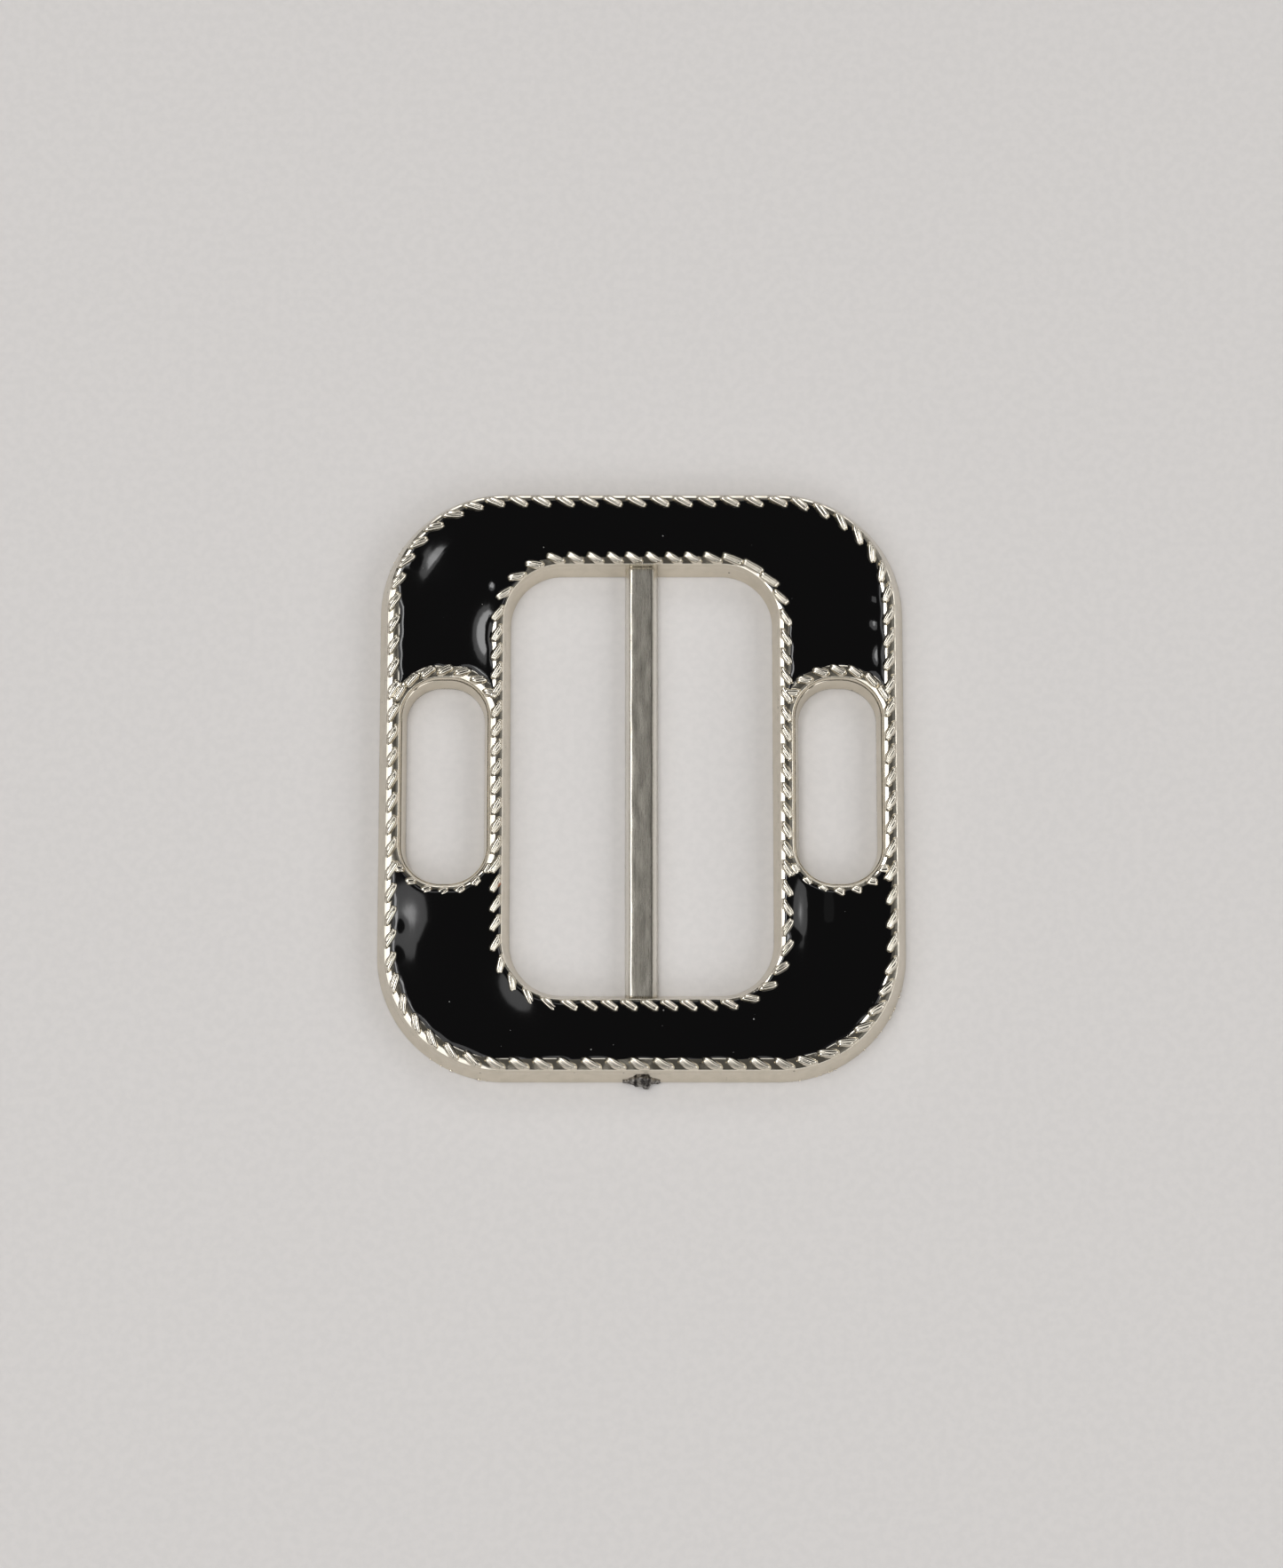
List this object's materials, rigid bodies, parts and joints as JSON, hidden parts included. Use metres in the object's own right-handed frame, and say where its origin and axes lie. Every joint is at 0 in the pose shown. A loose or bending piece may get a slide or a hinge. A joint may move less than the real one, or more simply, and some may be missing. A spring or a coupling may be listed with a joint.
{
  "type": "buckle slider",
  "caption": "Flat rounded frame slider that a belt or strap threads through, with a centre bar, two side slots, rope-pattern edges and glossy black enamel panels.",
  "frame": {"origin": "centre of the window on the back face, at the middle of the centre bar's underside", "axes": "+Z out of the decorated face, +Y along the slider's long side and its centre bar (the broken gate is at -Y), +X across the bar, along the direction the strap runs"},
  "size_m": [0.0476, 0.055, 0.003],
  "materials": {
    "plated_frame": "bright silver-coloured plating on a die-cast body",
    "plated_ribs": "bright silver-coloured plating",
    "brushed_bar": "satin plating with streaks along the bar",
    "black_enamel": "high-gloss poured enamel",
    "broken_gate": "rough, dull broken metal"
  },
  "bodies": {
    "root": {"frame": "plated_frame", "centre_bar": "brushed_bar", "outer_rope_border": "plated_ribs", "window_rope_border": "plated_ribs", "left_slot_rope_border": "plated_ribs", "right_slot_rope_border": "plated_ribs", "upper_enamel": "black_enamel", "lower_enamel": "black_enamel", "gate_stub": "broken_gate"}
  },
  "joints": []
}
